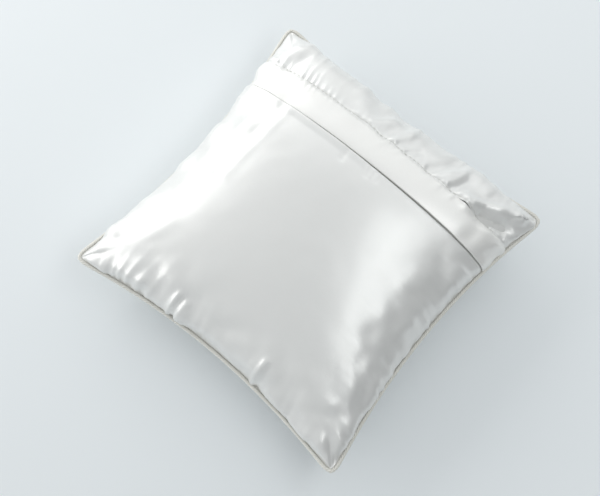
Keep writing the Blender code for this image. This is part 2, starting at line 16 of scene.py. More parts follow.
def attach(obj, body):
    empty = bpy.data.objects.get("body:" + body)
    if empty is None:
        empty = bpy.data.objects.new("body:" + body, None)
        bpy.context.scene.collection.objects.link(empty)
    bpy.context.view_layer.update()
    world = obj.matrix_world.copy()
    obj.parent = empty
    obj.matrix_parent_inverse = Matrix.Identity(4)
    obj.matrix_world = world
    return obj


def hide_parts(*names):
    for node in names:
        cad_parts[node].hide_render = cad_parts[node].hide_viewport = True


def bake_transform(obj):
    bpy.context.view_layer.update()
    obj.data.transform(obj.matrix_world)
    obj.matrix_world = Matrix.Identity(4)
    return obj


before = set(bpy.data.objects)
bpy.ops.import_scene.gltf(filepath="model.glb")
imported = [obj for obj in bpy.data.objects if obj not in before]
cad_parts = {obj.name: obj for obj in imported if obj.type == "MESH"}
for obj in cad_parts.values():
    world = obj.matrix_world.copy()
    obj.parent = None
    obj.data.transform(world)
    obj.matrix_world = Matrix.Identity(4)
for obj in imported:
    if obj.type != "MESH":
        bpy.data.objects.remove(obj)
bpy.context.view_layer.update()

MM = 0.001

# The stuffed cover, as the maker's drawing has it
HALF = 0.096
SIDE_BOW = 10.6 / 96
FLAP_BOW = 6.6 / 96
CROWN_BACK = 0.037
CROWN_FRONT = 0.038
SEAM_HEIGHT = 0.0274
SEAM_SPLIT = 0.55 * MM
SHOULDER = 4.0 * MM
REST_CORNER = 41.7 * MM
REST_LIFT = 0.1 * MM
HOLLOW_DEPTH = 4.2 * MM
HOLLOW_INNER = 0.032
HOLLOW_OUTER = 0.042
STITCH_Y = 0.0682
FOLD_Y = 0.0490
LAP_HALF = 0.058
LAP_BACK = 0.06796
PANEL_END_Y = 0.0538
ZIP_Y = 0.058
ZIP_TILT = math.radians(19.17)
ZIP_LENGTH = 0.120
ARC_RADIUS = 0.28987616
ARC_HEIGHT = -0.23418826
CHAIN_DEPTH = 4.8 * MM
CORD_OFFSET = 1.95 * MM
PANEL_THICK = 1.0 * MM

# The cloth as it was cut, and how it is stuffed
CLOTH_HALF = 0.100
CELLS = 128
STITCH_ROW = 110               # row of cells that is sewn down by the topstitching
STITCH_V = -1 + 2 * STITCH_ROW / CELLS
START_UNEVEN = 4.0 * MM
STUFFING_PRESSURE = 9
STUFFING_FRAMES = 36
BROAD_CELLS = 9.0              # swellings wider than this belong to the drawn shape
FINE_CELLS = 1.1
MOST_WRINKLE = 3.5 * MM
WRINKLE_GAIN = 2.0


# --- Shape of the stuffed cover ---------------------------------------------------------

def ease(value, low, high):
    """Smooth share from 0 at low to 1 at high."""
    share = np.clip((value - low) / (high - low), 0, 1)
    return share * share * (3 - 2 * share)


def plan(s, t, half=HALF):
    """Plan position of a share s, t of the cover, drawn in at the middle of its sides."""
    bow = np.where(t > 0, FLAP_BOW, SIDE_BOW)
    x, y = half * s * (1 - SIDE_BOW * (1 - t * t)), half * t * (1 - bow * (1 - s * s))
    return x * corner_ease(s, t), y * corner_ease(s, t)


def corner_ease(s, t):
    """Draws the four corners in a little, so that they are round."""
    far = np.maximum(np.abs(s), np.abs(t)) + 1e-9
    whole = far * ((np.abs(s) / far) ** 40 + (np.abs(t) / far) ** 40) ** (1 / 40)
    whole = np.maximum(whole, far)
    return 1 - (1 - far / whole) * ease(far, 0.8, 1.0)


def crown_share(s, t):
    """Height of the stuffed dome as a share of its crown."""
    return np.sqrt(np.clip(1 - s * s, 0, 1) * np.clip(1 - t * t, 0, 1))


def arc_table(turn, half_width, crown):
    """Share of a half ellipse's length at each turn along it."""
    run = np.hypot(half_width * np.cos(turn), crown * np.sin(turn))
    length = np.concatenate(([0.0], np.cumsum((run[1:] + run[:-1]) / 2)))
    return length / length[-1]


TURN = np.linspace(0, math.pi / 2, 2001)
ARC = arc_table(TURN, HALF - SIDE_BOW * HALF, CROWN_BACK)


def share_of(cloth):
    """Plan share over a point of the cloth, where the cloth runs from -1 to 1."""
    return np.sign(cloth) * np.sin(np.interp(np.abs(cloth), ARC, TURN))


def cloth_of(share):
    """Point of the cloth under a plan share."""
    return np.sign(share) * np.interp(np.arcsin(np.clip(np.abs(share), 0, 1)), TURN, ARC)


def line_share(s, y):
    """Cross share of the plan line y at the share s along it."""
    bow = np.where(y > 0, FLAP_BOW, SIDE_BOW)
    return np.clip(y / (HALF * (1 - bow * (1 - s * s))), -1, 1)


def cross_share(s, v):
    """Cross share for the cloth coordinate v, whose line STITCH_V is the topstitched line."""
    stitch = cloth_of(line_share(s, STITCH_Y))
    below = -1 + (v + 1) / (STITCH_V + 1) * (stitch + 1)
    above = 1 - (1 - v) / (1 - STITCH_V) * (1 - stitch)
    return share_of(np.where(v <= STITCH_V, below, above))


def cross_cloth(u, y):
    """Cloth coordinate v of the plan line y."""
    s = share_of(u)
    stitch = cloth_of(line_share(s, STITCH_Y))
    at = cloth_of(line_share(s, y))
    return np.where(at <= stitch, -1 + (at + 1) * (STITCH_V + 1) / (stitch + 1),
                    1 - (1 - at) * (1 - STITCH_V) / (1 - stitch))


def along_cloth(x, v):
    """Cloth coordinate u of the plan line x."""
    u = cloth_of(np.clip(x / HALF, -1, 1)) * np.ones_like(v)
    for _ in range(8):
        t = cross_share(share_of(u), v)
        u = cloth_of(np.clip(x / (HALF * (1 - SIDE_BOW * (1 - t * t))), -1, 1))
    return u


def back_skin(u, v):
    """Smooth outside of the back over the cloth point u, v."""
    s = share_of(u)
    t = cross_share(s, v)
    x, y = plan(s, t)
    z = SEAM_HEIGHT + SEAM_SPLIT + (CROWN_BACK - SEAM_SPLIT) * crown_share(s, t)
    return np.stack((x, y, z), axis=-1)


def rest_share():
    """Share at which a plan diagonal passes the corner of the flat that rests on the table."""
    share = REST_CORNER / HALF
    for _ in range(20):
        share = REST_CORNER / (HALF * (1 - SIDE_BOW * (1 - share ** 2)))
    return share


REST_SHARE = rest_share()


def front_skin(u, v):
    """Smooth outside of the front: flat on the table, hollow in its middle."""
    s, t = share_of(u), share_of(v)
    x, y = plan(s, t)
    depth = (CROWN_FRONT - SEAM_SPLIT) * crown_share(s, t)
    limit = SEAM_HEIGHT - SEAM_SPLIT
    over = np.clip(depth, limit - SHOULDER, limit + SHOULDER) - limit + SHOULDER
    depth = np.where(depth > limit - SHOULDER,
                     limit - SHOULDER + over - over * over / (4 * SHOULDER), depth)
    resting = 1 - ease(np.maximum(np.abs(s), np.abs(t)), REST_SHARE, REST_SHARE + 0.06)
    level = np.minimum(depth, limit - REST_LIFT)
    depth = level + (limit - level) * resting
    depth = depth - HOLLOW_DEPTH * (1 - ease(np.hypot(x, y), HOLLOW_INNER, HOLLOW_OUTER))
    return np.stack((x, y, SEAM_HEIGHT - SEAM_SPLIT - depth), axis=-1)


def facing(skin, u, v):
    """Unit direction out of the skin."""
    step = 0.004
    du = skin(np.minimum(u + step, 1), v) - skin(np.maximum(u - step, -1), v)
    dv = skin(u, np.minimum(v + step, 1)) - skin(u, np.maximum(v - step, -1))
    out = np.cross(du, dv)
    out /= np.linalg.norm(out, axis=-1, keepdims=True) + 1e-12
    return -out if skin is front_skin else out


# --- Wrinkles: a seeded unevenness that a short cloth run softens ------------------------

def grid_places(points):
    """Row and column of each grid point, for points from -1 to 1."""
    return tuple(np.rint((points[:, k] + 1) / 2 * CELLS).astype(int) for k in (1, 0))


def read_points(mesh):
    """Points of a mesh as rows of three."""
    flat = np.zeros(len(mesh.vertices) * 3)
    mesh.vertices.foreach_get("co", flat)
    return flat.reshape(-1, 3)


def blur(field, width, axis):
    """Soft average along one axis, with the sewn ends held at nothing."""
    reach = min(int(3 * width), field.shape[axis] - 2)
    field = np.moveaxis(field, axis, 0)
    padded = np.concatenate((-field[reach:0:-1], field, -field[-2:-reach - 2:-1]))
    weights = np.exp(-0.5 * (np.arange(-reach, reach + 1) / width) ** 2)
    weights /= weights.sum()
    soft = sum(w * padded[k:k + len(field)] for k, w in enumerate(weights))
    return np.moveaxis(soft, 0, axis)


def blur_both(field, width):
    return blur(blur(field, width, 0), width, 1)


def stiffen_satin(cloth, frames):
    """Satin's stretch and drape, blown up by the stuffing, with no weight of its own."""
    settings = cloth.settings
    settings.quality = 6
    settings.mass = 0.15
    settings.tension_stiffness = 30
    settings.compression_stiffness = 30
    settings.shear_stiffness = 10
    settings.bending_stiffness = 0.25
    settings.tension_damping = 5
    settings.compression_damping = 5
    settings.shear_damping = 5
    settings.air_damping = 2
    settings.use_pressure = True
    settings.uniform_pressure_force = STUFFING_PRESSURE
    settings.effector_weights.gravity = 0
    settings.vertex_group_mass = "sewn"
    cloth.collision_settings.use_collision = False
    cloth.point_cache.frame_end = frames


def uneven_start(places, count, held):
    """Seeded unevenness of the loose points, which most of the kept wrinkles follow."""
    uneven = np.zeros((CELLS + 1, CELLS + 1))
    uneven[places] = np.random.default_rng(17).normal(0, START_UNEVEN, count)
    uneven = blur_both(uneven, 2.6)[places]
    uneven[held] = 0.0
    return uneven


def stuff(skin, sewn):
    """Run the uneven cloth against its sewn lines and keep its fine wrinkles.

    From an even start this run makes next to none, so their pattern is the seeded one.
    """
    grid = bmesh.new()
    bmesh.ops.create_grid(grid, x_segments=CELLS, y_segments=CELLS, size=1.0)
    mesh = bpy.data.meshes.new("stuffing")
    grid.to_mesh(mesh)
    grid.free()
    flat = read_points(mesh)
    u, v = flat[:, 0], flat[:, 1]
    places = grid_places(flat)
    held = sewn(u, v)
    shaped = skin(u, v)
    start = shaped + facing(skin, u, v) * uneven_start(places, len(flat), held)[:, None]
    mesh.vertices.foreach_set("co", start.ravel())
    cloth_object = bpy.data.objects.new("stuffing", mesh)
    bpy.context.scene.collection.objects.link(cloth_object)
    cloth_object.shape_key_add(name="stuffed")
    cut = cloth_object.shape_key_add(name="cut flat")
    cut.data.foreach_set("co", (flat * CLOTH_HALF).ravel())
    group = cloth_object.vertex_groups.new(name="sewn")
    group.add([int(i) for i in np.nonzero(held)[0]], 1.0, "REPLACE")
    cloth = cloth_object.modifiers.new("cloth", "CLOTH")
    stiffen_satin(cloth, STUFFING_FRAMES)
    cloth.settings.rest_shape_key = cut
    for number in range(1, STUFFING_FRAMES + 1):
        bpy.context.scene.frame_set(number)
    graph = bpy.context.evaluated_depsgraph_get()
    blown = read_points(cloth_object.evaluated_get(graph).data)
    bpy.data.objects.remove(cloth_object)
    bpy.data.meshes.remove(mesh)
    bpy.context.scene.frame_set(1)
    moved = np.zeros((CELLS + 1, CELLS + 1, 3))
    moved[places] = blown - shaped
    for first, last in ((0, STITCH_ROW), (STITCH_ROW, CELLS)):
        block = moved[first:last + 1]
        moved[first:last + 1] = blur_both(block - blur_both(block, BROAD_CELLS), FINE_CELLS)
    size = np.linalg.norm(moved, axis=-1, keepdims=True) + 1e-12
    return moved * (MOST_WRINKLE * np.tanh(size / MOST_WRINKLE) / size)


def sample(field, u, v):
    """Smooth reading of a grid field at cloth coordinates."""
    cells = field.shape[0] - 1
    column, row = (np.clip((w + 1) / 2 * cells, 0, cells - 1e-9) for w in (u, v))
    c0, r0 = np.floor(column).astype(int), np.floor(row).astype(int)
    total = 0.0
    for j in range(-1, 3):
        for i in range(-1, 3):
            weight = cubic(column - c0 - i) * cubic(row - r0 - j)
            r, c = np.clip(r0 + j, 0, cells), np.clip(c0 + i, 0, cells)
            total = total + weight[..., None] * field[r, c]
    return total


def cubic(x):
    """Weight of a grid point at x cells away, for a smooth curve through the points."""
    x = np.abs(x)
    return np.where(x < 1, 1.5 * x ** 3 - 2.5 * x ** 2 + 1,
                    np.where(x < 2, -0.5 * x ** 3 + 2.5 * x ** 2 - 4 * x + 2, 0.0))


def back_sewn(u, v):
    """Points held by the seam and by the topstitching."""
    edge = (np.abs(u) > 0.9999) | (np.abs(v) > 0.9999)
    return edge | (np.abs(v - STITCH_V) < 1e-4)


BACK_WRINKLES = stuff(back_skin, back_sewn)
FRONT_WRINKLES = -BACK_WRINKLES[::-1, ::-1]


# --- Gathers and creases -----------------------------------------------------------------

def ripple(along, pitch, seed):
    """Uneven gathers of about one height, at about this pitch."""
    chance = np.random.default_rng(seed)
    wander = sum(a * np.sin(along * k / pitch + p) for a, k, p in
                 zip((1.1, 0.7, 0.5), (0.9, 1.7, 2.9), chance.uniform(0, 6.3, 3)))
    wave = np.cos(2 * math.pi * along / pitch + wander)
    swell = 0.65 + 0.35 * np.sin(along * 1.3 / pitch + chance.uniform(0, 6.3))
    return (wave + 0.25 * np.cos(2 * (2 * math.pi * along / pitch + wander))) * swell


# Each tuck: plan points of its two ends, width, height, all in millimetres
BACK_TUCKS = (
    ((-34, -88), (-32, -76), 1.6, 1.3), ((-30.5, -88), (-29, -78), 1.7, -1.0),
    ((-27.5, -88), (-25.5, -78), 1.6, 1.2), ((-23.5, -87), (-23, -81), 1.4, 0.6),
    ((29.5, -88), (30.5, -74), 1.9, 1.4), ((33.5, -87), (33.5, -77), 2.2, -1.0),
    ((-60, 46), (-62, -12), 3.4, -0.5), ((-55.5, 46), (-57.5, -8), 3.2, 0.3),
    ((58, 70), (87, 87), 4.0, 3.6), ((70, 70), (83, 75), 5.2, -4.2),
    ((84, 88), (93, 90), 3.0, 1.2), ((80, 84), (88, 90), 2.6, -1.0),
    ((-94, 58), (-86, 52), 2.0, -1.1), ((-95, 64), (-88, 60), 2.2, 0.8),
    ((95, 68), (84, 63), 2.0, 1.2), ((95, 64), (85, 57), 2.4, -1.3),
    ((-12, 46.5), (-11, 40), 1.3, -0.5), ((4, 47), (6, 41), 1.3, -0.5),
    ((12, 47), (12, 42), 1.2, -0.45), ((8, 47), (9, 43), 1.2, 0.35),
    ((-86, 70), (-76, 92), 4.5, 0.9), ((-76, 70), (-70, 88), 4.0, -1.0),
    ((-14, 71), (-5, 82), 3.2, 1.0), ((-5, 71), (2, 83), 3.2, -1.2),
    ((4, 71), (8, 81), 2.8, 0.9), ((14, 70.5), (19, 76), 2.0, -0.7),
    ((30, 71), (38, 84), 3.6, -1.2), ((38, 71), (45, 83), 3.2, 1.2),
    ((47, 71), (51, 81), 2.8, -0.9), ((54, 71), (62, 82), 3.6, 1.0),
    ((74, -70), (88, -78), 5.0, 0.8), ((60, -84), (82, -70), 4.0, -0.6),
)


def tucks(point):
    """Height of soft ridges and hollows that run along plan lines."""
    height = 0.0
    for start, end, width, rise in BACK_TUCKS:
        a, b = (np.array(p, float) * MM for p in (start, end))
        run = b - a
        share = ((point[..., :2] - a) @ run) / (run @ run)
        nearest = a + np.clip(share, 0, 1)[..., None] * run
        gap = np.linalg.norm(point[..., :2] - nearest, axis=-1)
        height = height + rise * MM * np.exp(-(gap / (width * MM)) ** 2)
    return height


def seam_gathers(u, v, point):
    """Puckers that run in from the corded seam."""
    x, y = point[..., 0] / MM, point[..., 1] / MM
    sides = (   # cloth and its seam, run, seed, even rise, and a swell's rise, middle and spread
        (v, -1, x, 3, 0.30, 1.15, -68, 18), (u, 1, y, 5, 0.42, 0.50, -10, 45),
        (u, -1, y, 7, 0.30, 0.0, 0, 1), (v, 1, x, 11, 0.30, 0.0, 0, 1))
    height = 0.0
    for side, at, along, seed, even, swell, middle, spread in sides:
        inward = np.abs(side - at) * CLOTH_HALF / MM
        rise = even + swell * np.exp(-((along - middle) / spread) ** 2)
        rise = rise * ease(96 - np.abs(along), 5, 18)
        for pitch, reach, share in ((8.0, 19.0, 1.0), (4.6, 11.0, 0.5)):
            lean = along + 0.12 * inward * np.sin(along * 0.09 + seed)
            height = height + share * rise * ripple(lean, pitch, seed) * (
                (1 - np.exp(-inward / 3.5)) * np.exp(-(inward / reach) ** 1.8))
    return height * MM


def stitch_gathers(point):
    """Puckers on both sides of the topstitched line, and the groove it pulls."""
    x = point[..., 0] / MM
    beyond = (point[..., 1] - STITCH_Y) / MM - 0.7
    fine = 0.62 * np.exp(-((x + 62) / 22) ** 2) + 0.26
    broad = 0.55 * np.exp(-((x - 2) / 18) ** 2) + 0.6 * np.exp(-((x - 44) / 16) ** 2)
    flap = np.where(beyond > 0, 1.0, 0.6)
    fade = np.exp(-(np.abs(beyond) / np.where(beyond > 0, 4.2, 2.6)) ** 1.3)
    rows = fine * ripple(x + 0.25 * beyond, 4.4, 21) * fade
    rows = rows + (broad * ripple(x - 0.5 * beyond, 8.5, 23)
                   * np.exp(-(np.abs(beyond) / 6.5) ** 1.6))
    ends = ease(94 - np.abs(x), 0, 6)
    groove = -0.45 * np.exp(-(beyond / 1.1) ** 2)
    return (rows * flap * ends * (1 - np.exp(-(beyond / 0.9) ** 2)) + groove) * MM


def overhang(u, v, point):
    """Fullness that stands out over the seam, most along the flap's side."""
    x, y = point[..., 0] / MM, point[..., 1] / MM
    height = 0.0
    sides = ((v, 1, x, 4.2), (u, -1, y, 2.2), (u, 1, y, 0.9), (v, -1, x, 0.9))
    for side, at, along, most in sides:
        inward = np.abs(side - at) * CLOTH_HALF / MM / 6.5
        height = height + most * inward * np.exp(1 - inward) * np.clip(
            1 - (along / 93) ** 4, 0, 1)
    return height * MM


def back_cloth(u, v, lift=0.0, gain=1.0):
    """Finished place of the back's cloth, raised by lift, with this share of its gathers."""
    base = back_skin(u, v)
    out = facing(back_skin, u, v)
    edge = np.maximum(np.abs(u), np.maximum(-v, v - 0.1))
    calm = WRINKLE_GAIN * (0.08 + 0.92 * ease(edge, 0.5, 0.88))
    wrinkle = sample(BACK_WRINKLES, u, v) * calm[..., None]
    height = tucks(base) * (0.4 + 0.6 * gain) + seam_gathers(u, v, base) * gain
    height = height + stitch_gathers(base) + overhang(u, v, base)
    return base + wrinkle + out * (height + lift)[..., None]


def front_cloth(u, v):
    """Finished place of the front's cloth, which stays flat where it rests."""
    base = front_skin(u, v)
    out = facing(front_skin, u, v)
    clear = ease(base[..., 2], 0.3 * MM, 4 * MM)
    height = seam_gathers(u, -v, base * np.array((1, -1, 1)))
    place = base + (sample(FRONT_WRINKLES, u, v) + out * height[..., None]) * clear[..., None]
    place[..., 2] = np.maximum(place[..., 2], 0.0)
    return place


# --- Turning shapes into pieces -------------------------------------------------------------

def new_grid(columns, rows):
    """Flat grid from 0 to 1, whose points are then moved onto the cloth."""
    shape = bmesh.new()
    bmesh.ops.create_grid(shape, x_segments=columns, y_segments=rows, size=0.5)
    bmesh.ops.translate(shape, verts=shape.verts, vec=(0.5, 0.5, 0))
    layer = shape.loops.layers.uv.new("cloth")
    for face in shape.faces:
        for loop in face.loops:
            loop[layer].uv = loop.vert.co.xy
    return shape


def place_points(shape, place):
    """Move every point of a grid to the place given by its two grid shares."""
    flat = np.array([v.co[:2] for v in shape.verts])
    for vert, co in zip(shape.verts, place(flat[:, 0], flat[:, 1])):
        vert.co = co


def scale_cloth(shape, width, depth):
    """Cloth coordinates in metres, so that a weave has its real size."""
    layer = shape.loops.layers.uv.active
    for face in shape.faces:
        for loop in face.loops:
            loop[layer].uv = (loop[layer].uv[0] * width, loop[layer].uv[1] * depth)


def finish_piece(name, shape, material, body):
    """Named piece from a shape, riding on its body."""
    for face in shape.faces:
        face.smooth = True
    mesh = bpy.data.meshes.new(name)
    shape.to_mesh(mesh)
    shape.free()
    mesh.materials.append(material)
    piece = bpy.data.objects.new(name, mesh)
    bpy.context.scene.collection.objects.link(piece)
    if body:
        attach(piece, body)
    return piece


def thicken(shape, thickness, inward):
    """Give a sheet its inner side, towards the stuffing."""
    made = bmesh.ops.extrude_face_region(shape, geom=list(shape.faces), use_keep_orig=True)
    inner = [item for item in made["geom"] if isinstance(item, bmesh.types.BMVert)]
    for vert in inner:
        vert.co += inward * thickness * vert.normal


def outward(shape):
    """Turn every face outwards."""
    bmesh.ops.recalc_face_normals(shape, faces=shape.faces)
    if shape.calc_volume(signed=True) < 0:
        bmesh.ops.reverse_faces(shape, faces=shape.faces)


# --- Finishes ---------------------------------------------------------------------------------

def new_finish(name):
    """Material with its nodes, links and shader."""
    material = bpy.data.materials.new(name)
    material.use_nodes = True
    nodes = material.node_tree.nodes
    return material, nodes, material.node_tree.links, nodes["Principled BSDF"]


def add_node(nodes, kind, **inputs):
    """Node with its named inputs, or its settings, filled in."""
    node = nodes.new(kind)
    for key, value in inputs.items():
        socket = node.inputs.get(key.replace("_", " "))
        if socket is not None:
            socket.default_value = value
        else:
            setattr(node, key, value)
    return node


def satin(name, light, shade, roughness, weave, slub, sheen):
    """Satin: long floats that gleam, a fine cross thread, faint slubs and soft shading."""
    material, nodes, links, shader = new_finish(name)
    cloth = add_node(nodes, "ShaderNodeUVMap", uv_map="cloth")
    place = add_node(nodes, "ShaderNodeTexCoord")
    floats = add_node(nodes, "ShaderNodeMapping", Scale=(350.0, 4200.0, 1.0))
    links.new(cloth.outputs["UV"], floats.inputs["Vector"])
    streak = add_node(nodes, "ShaderNodeTexNoise", Scale=1.0, Detail=2.0, Roughness=0.6)
    links.new(floats.outputs["Vector"], streak.inputs["Vector"])
    slubs = add_node(nodes, "ShaderNodeMapping", Scale=(60.0, 900.0, 1.0))
    links.new(cloth.outputs["UV"], slubs.inputs["Vector"])
    slub_noise = add_node(nodes, "ShaderNodeTexNoise", Scale=1.0, Detail=1.0, Roughness=0.5)
    links.new(slubs.outputs["Vector"], slub_noise.inputs["Vector"])
    broad = add_node(nodes, "ShaderNodeTexNoise", Scale=38.0, Detail=3.0, Roughness=0.5)
    links.new(place.outputs["Object"], broad.inputs["Vector"])
    mixed = add_node(nodes, "ShaderNodeMix", data_type="RGBA")
    links.new(broad.outputs["Fac"], mixed.inputs["Factor"])
    mixed.inputs[6].default_value = (*shade, 1)
    mixed.inputs[7].default_value = (*light, 1)
    tint = add_node(nodes, "ShaderNodeMix", data_type="RGBA", blend_type="MULTIPLY")
    tint.inputs["Factor"].default_value = 0.12
    ramp = add_node(nodes, "ShaderNodeValToRGB")
    ramp.color_ramp.elements[0].position = 0.30
    ramp.color_ramp.elements[0].color = (0.90, 0.89, 0.87, 1)
    ramp.color_ramp.elements[1].position = 0.60
    links.new(streak.outputs["Fac"], ramp.inputs["Fac"])
    links.new(mixed.outputs[2], tint.inputs[6])
    links.new(ramp.outputs["Color"], tint.inputs[7])
    links.new(tint.outputs[2], shader.inputs["Base Color"])
    gloss = add_node(nodes, "ShaderNodeMapRange", From_Min=0.3, From_Max=0.7,
                     To_Min=roughness - 0.02, To_Max=roughness + 0.02)
    links.new(slub_noise.outputs["Fac"], gloss.inputs["Value"])
    links.new(gloss.outputs["Result"], shader.inputs["Roughness"])
    first = add_node(nodes, "ShaderNodeBump", Strength=weave, Distance=0.00006)
    links.new(streak.outputs["Fac"], first.inputs["Height"])
    second = add_node(nodes, "ShaderNodeBump", Strength=slub, Distance=0.00012)
    links.new(slub_noise.outputs["Fac"], second.inputs["Height"])
    links.new(first.outputs["Normal"], second.inputs["Normal"])
    links.new(second.outputs["Normal"], shader.inputs["Normal"])
    shader.inputs["Specular IOR Level"].default_value = 0.7
    shader.inputs["Metallic"].default_value = 0.28
    shader.inputs["Sheen Weight"].default_value = sheen
    shader.inputs["Sheen Roughness"].default_value = 0.4
    return material


def woven(name, light, shade, roughness, across, along, depth):
    """Plain or twill weave from crossed threads, with thread to thread variation."""
    material, nodes, links, shader = new_finish(name)
    place = add_node(nodes, "ShaderNodeTexCoord")
    both = add_node(nodes, "ShaderNodeMath", operation="MAXIMUM")
    for number, (run, scale) in enumerate((("X", across), ("Y", along))):
        threads = add_node(nodes, "ShaderNodeTexWave", Scale=scale, Distortion=0.8, Detail=1.0,
                           bands_direction=run)
        links.new(place.outputs["Object"], threads.inputs["Vector"])
        links.new(threads.outputs["Fac"], both.inputs[number])
    fuzz = add_node(nodes, "ShaderNodeTexNoise", Scale=1400.0, Detail=4.0)
    links.new(place.outputs["Object"], fuzz.inputs["Vector"])
    mixed = add_node(nodes, "ShaderNodeMix", data_type="RGBA")
    mixed.inputs[6].default_value = (*shade, 1)
    mixed.inputs[7].default_value = (*light, 1)
    blend_in = add_node(nodes, "ShaderNodeMath", operation="MULTIPLY")
    links.new(both.outputs["Value"], blend_in.inputs[0])
    links.new(fuzz.outputs["Fac"], blend_in.inputs[1])
    links.new(blend_in.outputs["Value"], mixed.inputs["Factor"])
    links.new(mixed.outputs[2], shader.inputs["Base Color"])
    bump = add_node(nodes, "ShaderNodeBump", Strength=depth, Distance=0.0001)
    links.new(both.outputs["Value"], bump.inputs["Height"])
    links.new(bump.outputs["Normal"], shader.inputs["Normal"])
    shader.inputs["Roughness"].default_value = roughness
    shader.inputs["Sheen Weight"].default_value = 0.15
    return material


def fibrous(name, light, shade, roughness, run, sheen):
    """Drawn fibres along a cord or thread, from its own cloth coordinates."""
    material, nodes, links, shader = new_finish(name)
    cloth = add_node(nodes, "ShaderNodeUVMap", uv_map="cloth")
    stretch = add_node(nodes, "ShaderNodeMapping", Scale=(500.0, run, 1.0))
    links.new(cloth.outputs["UV"], stretch.inputs["Vector"])
    fibres = add_node(nodes, "ShaderNodeTexNoise", Scale=1.0, Detail=3.0, Roughness=0.65)
    links.new(stretch.outputs["Vector"], fibres.inputs["Vector"])
    mixed = add_node(nodes, "ShaderNodeMix", data_type="RGBA")
    mixed.inputs[6].default_value = (*shade, 1)
    mixed.inputs[7].default_value = (*light, 1)
    links.new(fibres.outputs["Fac"], mixed.inputs["Factor"])
    links.new(mixed.outputs[2], shader.inputs["Base Color"])
    bump = add_node(nodes, "ShaderNodeBump", Strength=0.5, Distance=0.00008)
    links.new(fibres.outputs["Fac"], bump.inputs["Height"])
    links.new(bump.outputs["Normal"], shader.inputs["Normal"])
    shader.inputs["Roughness"].default_value = roughness
    shader.inputs["Sheen Weight"].default_value = sheen
    return material


def polished(name, colour, roughness, metallic, scratch):
    """Metal or nylon with fine rubbing marks."""
    material, nodes, links, shader = new_finish(name)
    place = add_node(nodes, "ShaderNodeTexCoord")
    drawn = add_node(nodes, "ShaderNodeMapping", Scale=(300.0, 2600.0, 2600.0))
    links.new(place.outputs["Object"], drawn.inputs["Vector"])
    marks = add_node(nodes, "ShaderNodeTexNoise", Scale=1.0, Detail=4.0)
    links.new(drawn.outputs["Vector"], marks.inputs["Vector"])
    worn = add_node(nodes, "ShaderNodeMapRange", From_Min=0.3, From_Max=0.7,
                    To_Min=roughness - 0.08, To_Max=roughness + 0.12)
    links.new(marks.outputs["Fac"], worn.inputs["Value"])
    links.new(worn.outputs["Result"], shader.inputs["Roughness"])
    mixed = add_node(nodes, "ShaderNodeMix", data_type="RGBA")
    mixed.inputs[6].default_value = (*[c * 0.86 for c in colour], 1)
    mixed.inputs[7].default_value = (*colour, 1)
    links.new(marks.outputs["Fac"], mixed.inputs["Factor"])
    links.new(mixed.outputs[2], shader.inputs["Base Color"])
    bump = add_node(nodes, "ShaderNodeBump", Strength=scratch, Distance=0.00003)
    links.new(marks.outputs["Fac"], bump.inputs["Height"])
    links.new(bump.outputs["Normal"], shader.inputs["Normal"])
    shader.inputs["Metallic"].default_value = metallic
    return material


COVER_SATIN = satin("cover_satin", light=(0.87, 0.872, 0.855), shade=(0.845, 0.845, 0.825),
                    roughness=0.31, weave=0.3, slub=0.015, sheen=0.08)
# Same satin as the cover, painted lighter: the brighter colour is painted light that stands in
# for the extra light the lap catches
LAP_SATIN_PAINTED_LIGHTER = satin("lap_satin", light=(0.93, 0.925, 0.90), shade=(0.91, 0.903, 0.875),
                  roughness=0.34, weave=0.3, slub=0.015, sheen=0.08)
BOW_RIBBON = woven("bow_ribbon", light=(0.86, 0.85, 0.81), shade=(0.78, 0.77, 0.72),
                   roughness=0.34, across=520.0, along=900.0, depth=0.25)
FILL_FIBRE = woven("fill_fibre", light=(0.86, 0.86, 0.85), shade=(0.74, 0.74, 0.73),
                   roughness=0.95, across=90.0, along=130.0, depth=0.8)
CORD_YARN = fibrous("cord_yarn", light=(0.86, 0.85, 0.80), shade=(0.78, 0.765, 0.70),
                    roughness=0.42, run=6000.0, sheen=0.2)
STITCH_THREAD = fibrous("stitch_thread", light=(0.84, 0.84, 0.81), shade=(0.74, 0.74, 0.70),
                        roughness=0.45, run=9000.0, sheen=0.2)
TAPE_WEAVE = woven("tape_weave", light=(0.80, 0.79, 0.75), shade=(0.62, 0.61, 0.57),
                   roughness=0.78, across=260.0, along=420.0, depth=0.7)
INSERT_COTTON = woven("insert_cotton", light=(0.82, 0.82, 0.80), shade=(0.68, 0.68, 0.66),
                      roughness=0.85, across=330.0, along=330.0, depth=0.6)
COIL_NYLON = polished("coil_nylon", (0.82, 0.81, 0.77), roughness=0.36, metallic=0.0,
                      scratch=0.1)
ZIP_METAL = polished("zip_metal", (0.78, 0.78, 0.79), roughness=0.26, metallic=1.0,
                     scratch=0.25)


# --- Cover ------------------------------------------------------------------------------------

def closer_ends(share, amount):
    """Shares from 0 to 1, closer together towards both ends."""
    return share - amount * np.sin(2 * math.pi * share) / (2 * math.pi)


def sheet_over(name, columns, rows, span, place, closer=0.6):
    """Sheet of cloth laid over the stuffing, with its thickness, in finer steps at its ends."""
    shape = new_grid(columns, rows)
    place_points(shape, lambda a, b: place(*span(closer_ends(a, 0.35), closer_ends(b, closer))))
    scale_cloth(shape, 2 * CLOTH_HALF, 2 * CLOTH_HALF)
    shape.normal_update()
    thicken(shape, PANEL_THICK, 1 if place is front_cloth else -1)
    outward(shape)
    return finish_piece(name, shape, COVER_SATIN, "cover")


